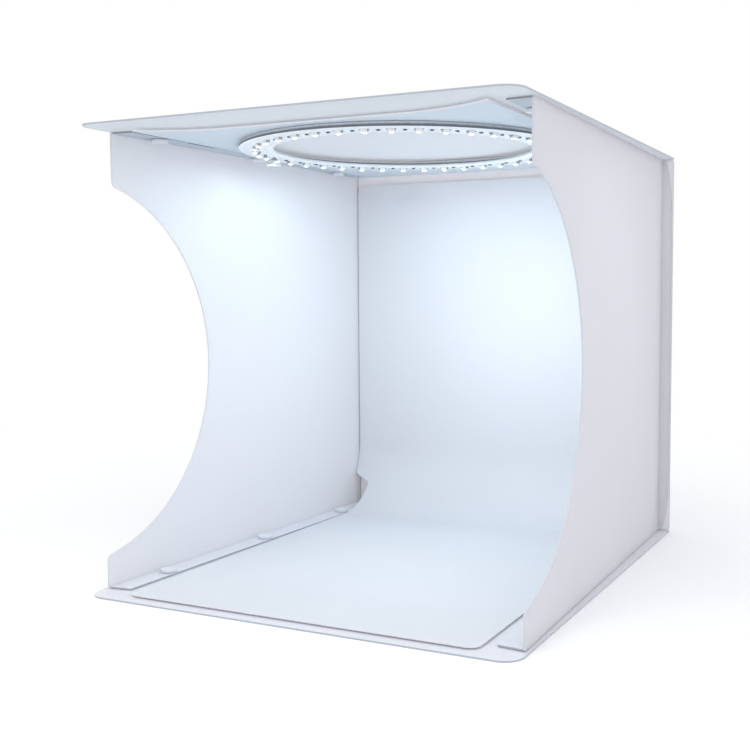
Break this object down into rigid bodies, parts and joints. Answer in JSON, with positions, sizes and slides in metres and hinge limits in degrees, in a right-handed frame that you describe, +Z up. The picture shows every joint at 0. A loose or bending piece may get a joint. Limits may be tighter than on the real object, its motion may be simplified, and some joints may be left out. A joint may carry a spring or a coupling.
{
  "type": "folding light tent",
  "caption": "Foldable tabletop photo tent of white sheet, with round side cut-outs, a roof window with a flap, a ring light and a curved backdrop.",
  "frame": {"origin": "middle of the underside of the floor sheet, which is the bottom centre of the whole object's box", "axes": "+X to the object's right as seen from its open front, +Y to the back sheet, +Z up"},
  "size_m": [0.24, 0.276, 0.243],
  "materials": {
    "sheet": "frosted white polypropylene sheet, lets light through",
    "backdrop": "smooth matt white flexible sheet",
    "steel": "zinc-plated thin steel disc",
    "magnet": "nickel-plated magnet disc",
    "cup": "white moulded plastic",
    "tape": "double-sided adhesive tape",
    "foam": "dark closed-cell foam tape",
    "board": "circuit board with white solder mask and small lamps",
    "socket": "black moulded inlet shell",
    "pin": "brass contact pin",
    "pad": "white hook-and-loop pad"
  },
  "bodies": {
    "floor": {"base_sheet": "sheet", "left_base_disc_1": "steel", "left_base_disc_2": "steel", "left_base_disc_3": "steel", "right_base_disc_1": "steel", "right_base_disc_2": "steel", "right_base_disc_3": "steel"},
    "back": {"back_sheet": "sheet", "left_rear_flange": "sheet", "right_rear_flange": "sheet", "backdrop_sheet": "backdrop", "left_backdrop_pad": "pad", "right_backdrop_pad": "pad"},
    "roof": {"top_sheet": "sheet", "left_roof_disc_1": "steel", "left_roof_disc_2": "steel", "left_roof_disc_3": "steel", "right_roof_disc_1": "steel", "right_roof_disc_2": "steel", "right_roof_disc_3": "steel", "light_board": "sheet", "left_board_tape": "tape", "right_board_tape": "tape", "ring_foam": "foam", "ring_board": "board", "inlet_socket": "socket", "inlet_pin_front": "pin", "inlet_pin_rear": "pin"},
    "window": {"window_flap": "sheet"},
    "left_side": {"left_side_sheet": "sheet"},
    "right_side": {"right_side_sheet": "sheet"},
    "left_top_flap_body": {"left_top_flap": "sheet", "left_top_magnet_1": "magnet", "left_top_magnet_cup_1": "cup", "left_top_magnet_2": "magnet", "left_top_magnet_cup_2": "cup", "left_top_magnet_3": "magnet", "left_top_magnet_cup_3": "cup"},
    "left_bottom_flap_body": {"left_bottom_flap": "sheet", "left_bottom_magnet_1": "magnet", "left_bottom_magnet_cup_1": "cup", "left_bottom_magnet_2": "magnet", "left_bottom_magnet_cup_2": "cup", "left_bottom_magnet_3": "magnet", "left_bottom_magnet_cup_3": "cup"},
    "right_top_flap_body": {"right_top_flap": "sheet", "right_top_magnet_1": "magnet", "right_top_magnet_cup_1": "cup", "right_top_magnet_2": "magnet", "right_top_magnet_cup_2": "cup", "right_top_magnet_3": "magnet", "right_top_magnet_cup_3": "cup"},
    "right_bottom_flap_body": {"right_bottom_flap": "sheet", "right_bottom_magnet_1": "magnet", "right_bottom_magnet_cup_1": "cup", "right_bottom_magnet_2": "magnet", "right_bottom_magnet_cup_2": "cup", "right_bottom_magnet_3": "magnet", "right_bottom_magnet_cup_3": "cup"}
  },
  "joints": [
    {"name": "back_recline", "type": "hinge", "parent": "floor", "child": "back", "pos_m": [0, 0.13815, 0.00095], "axis": [-1, 0, 0], "range_deg": [0, 90]},
    {"name": "roof_lift", "type": "hinge", "parent": "back", "child": "roof", "pos_m": [0, 0.13815, 0.24205], "axis": [-1, 0, 0], "range_deg": [0, 110]},
    {"name": "window_open", "type": "hinge", "parent": "roof", "child": "window", "pos_m": [0, 0.07495, 0.24315], "axis": [-1, 0, 0], "range_deg": [0, 150]},
    {"name": "left_side_swing", "type": "hinge", "parent": "back", "child": "left_side", "pos_m": [-0.1133, 0.1361, 0], "axis": [0, 0, -1], "range_deg": [0, 90]},
    {"name": "left_top_flap_fold", "type": "hinge", "parent": "left_side", "child": "left_top_flap_body", "pos_m": [-0.11205, 0.13608, 0.24095], "axis": [0.02, 0.9998, 0], "range_deg": [0, 65]},
    {"name": "left_bottom_flap_fold", "type": "hinge", "parent": "left_side", "child": "left_bottom_flap_body", "pos_m": [-0.11205, 0.13608, 0.00205], "axis": [-0.02, -0.9998, 0], "range_deg": [0, 65]},
    {"name": "right_side_swing", "type": "hinge", "parent": "back", "child": "right_side", "pos_m": [0.1133, 0.1361, 0], "axis": [0, 0, 1], "range_deg": [0, 90]},
    {"name": "right_top_flap_fold", "type": "hinge", "parent": "right_side", "child": "right_top_flap_body", "pos_m": [0.11205, 0.13608, 0.24095], "axis": [0.02, -0.9998, 0], "range_deg": [0, 65]},
    {"name": "right_bottom_flap_fold", "type": "hinge", "parent": "right_side", "child": "right_bottom_flap_body", "pos_m": [0.11205, 0.13608, 0.00205], "axis": [-0.02, 0.9998, 0], "range_deg": [0, 65]}
  ]
}
